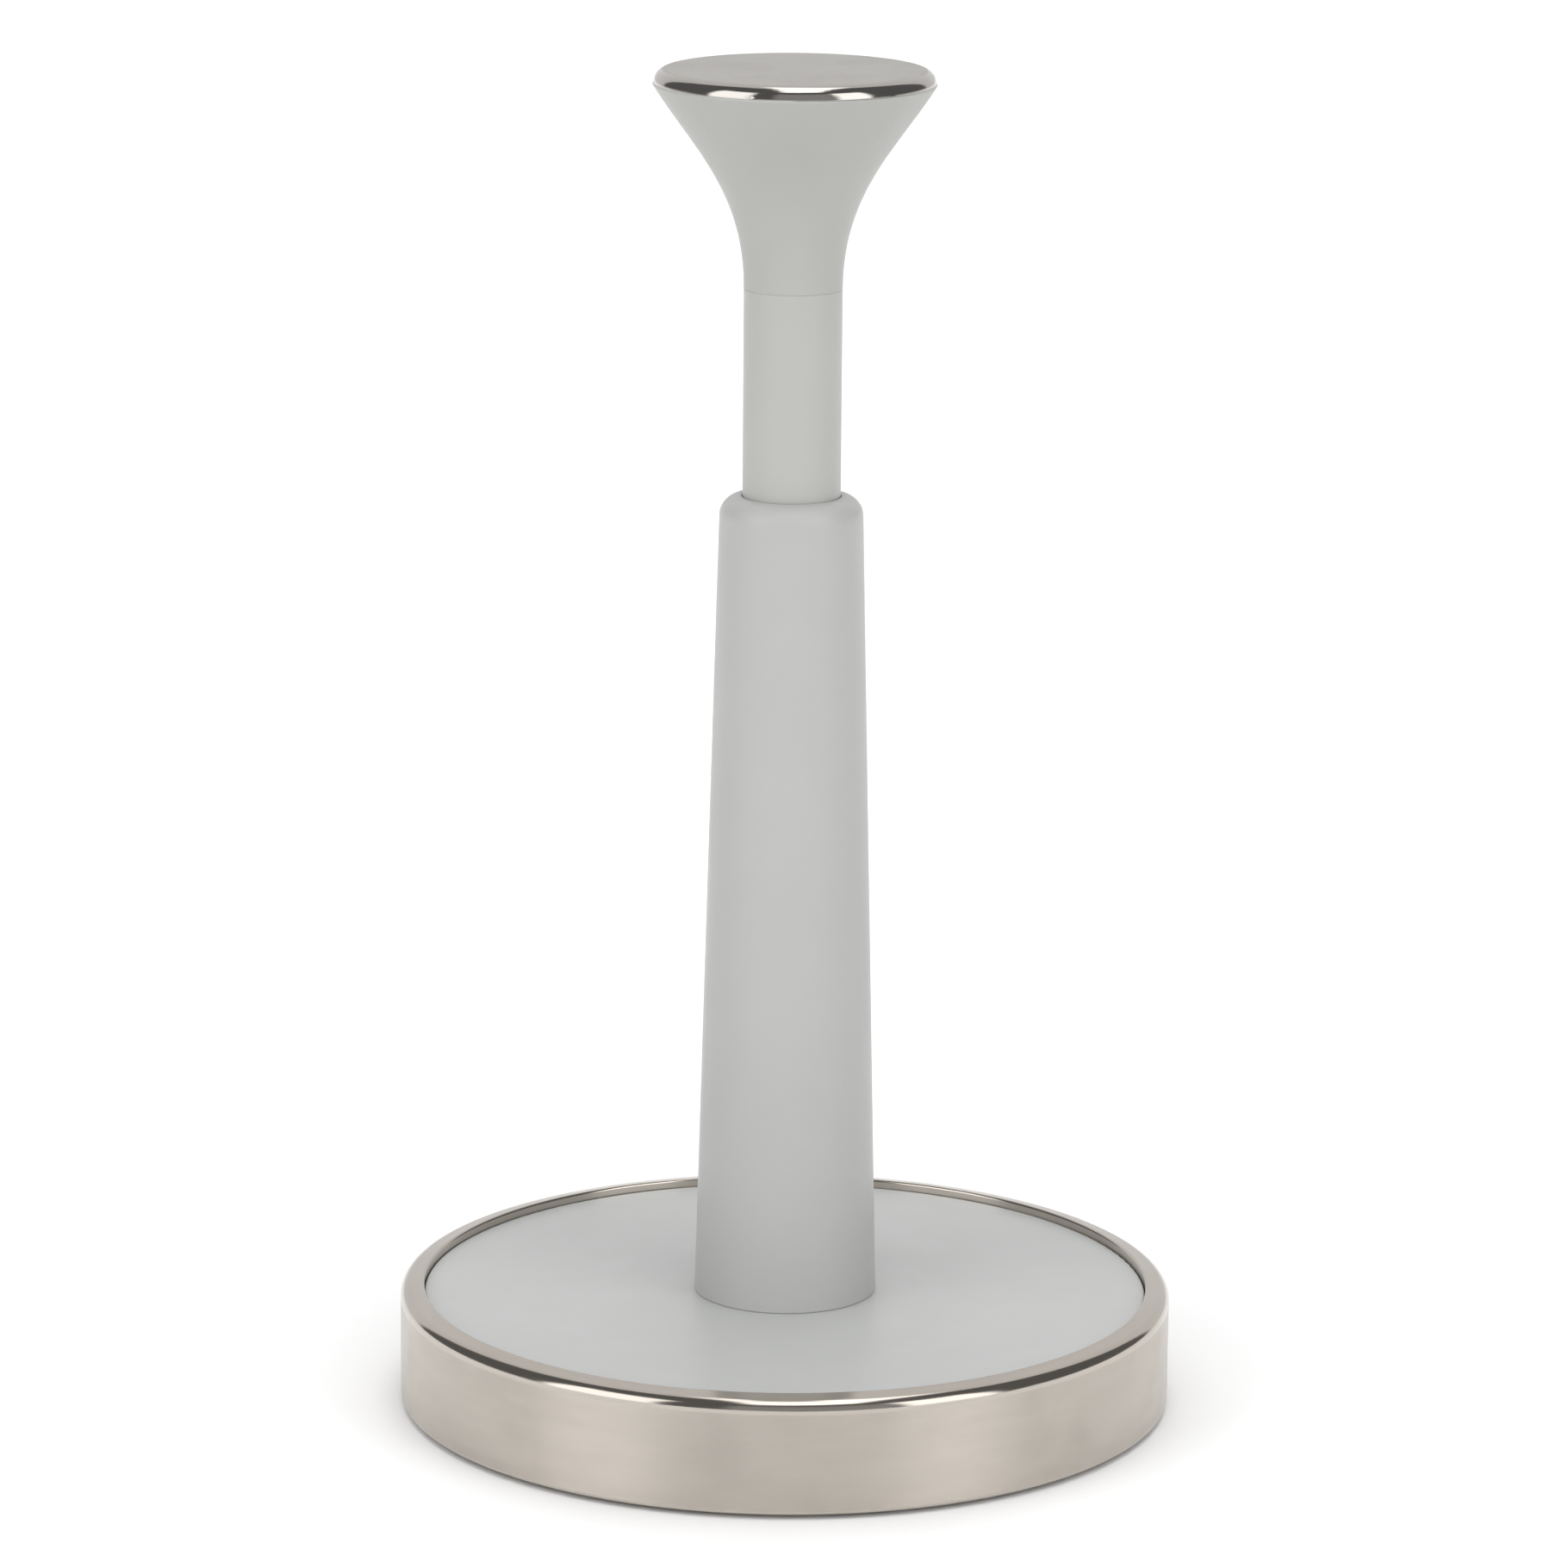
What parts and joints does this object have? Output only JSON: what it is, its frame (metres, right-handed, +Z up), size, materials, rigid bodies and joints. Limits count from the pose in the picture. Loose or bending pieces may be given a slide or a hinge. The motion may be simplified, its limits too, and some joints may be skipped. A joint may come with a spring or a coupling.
{
  "type": "paper towel holder",
  "caption": "Free-standing paper towel holder: a weighted round base with a metal rim, a tapered column, and a lift-out handle with a trumpet knob and metal cap.",
  "frame": {"origin": "on the worktop, under the middle of the column", "axes": "+Z up along the column; the holder is round, so +X and +Y are any two level directions"},
  "size_m": [0.165, 0.165, 0.2866],
  "materials": {
    "satin_paint": "pale cool grey satin powder coat",
    "knob_paint": "moulding painted pale cool grey, satin",
    "rim_metal": "warm nickel, fine circumferential brushing, polished edges",
    "cap_metal": "warm nickel, satin face with a polished rounded edge",
    "iron": "as cast, black dipped",
    "black_plastic": "fine moulded texture",
    "rubber": "matt, soft",
    "zinc_steel": "bright zinc plate",
    "plain_steel": "as turned",
    "nylon": "natural, smooth",
    "fibre": "vulcanised fibre"
  },
  "bodies": {
    "base": {"base_rim": "rim_metal", "top_plate": "satin_paint", "ballast_disc": "iron", "bottom_cover": "black_plastic", "foot_ring": "rubber", "cover_screws": "zinc_steel", "column_sleeve": "satin_paint", "column_foot": "plain_steel", "locating_pin": "plain_steel", "column_bolt": "zinc_steel", "flat_washer": "zinc_steel", "spring_washer": "zinc_steel", "guide_bush": "nylon", "socket_tube": "plain_steel", "stop_plug": "plain_steel", "seat_pad": "rubber"},
    "glide": {"glide_ring": "nylon"},
    "handle": {"lift_rod": "satin_paint", "rod_end_plug": "nylon", "rod_top_insert": "plain_steel", "knob_stud": "zinc_steel", "knob_body": "knob_paint", "knob_washer": "fibre", "cap": "cap_metal"}
  },
  "joints": [
    {"name": "handle_lift", "type": "slide", "parent": "base", "child": "glide", "axis": [0, 0, 1], "range_m": [0, 0.09]},
    {"name": "handle_turn", "type": "hinge", "parent": "glide", "child": "handle", "pos_m": [0, 0, 0.125], "axis": [0, 0, 1], "continuous": true}
  ]
}
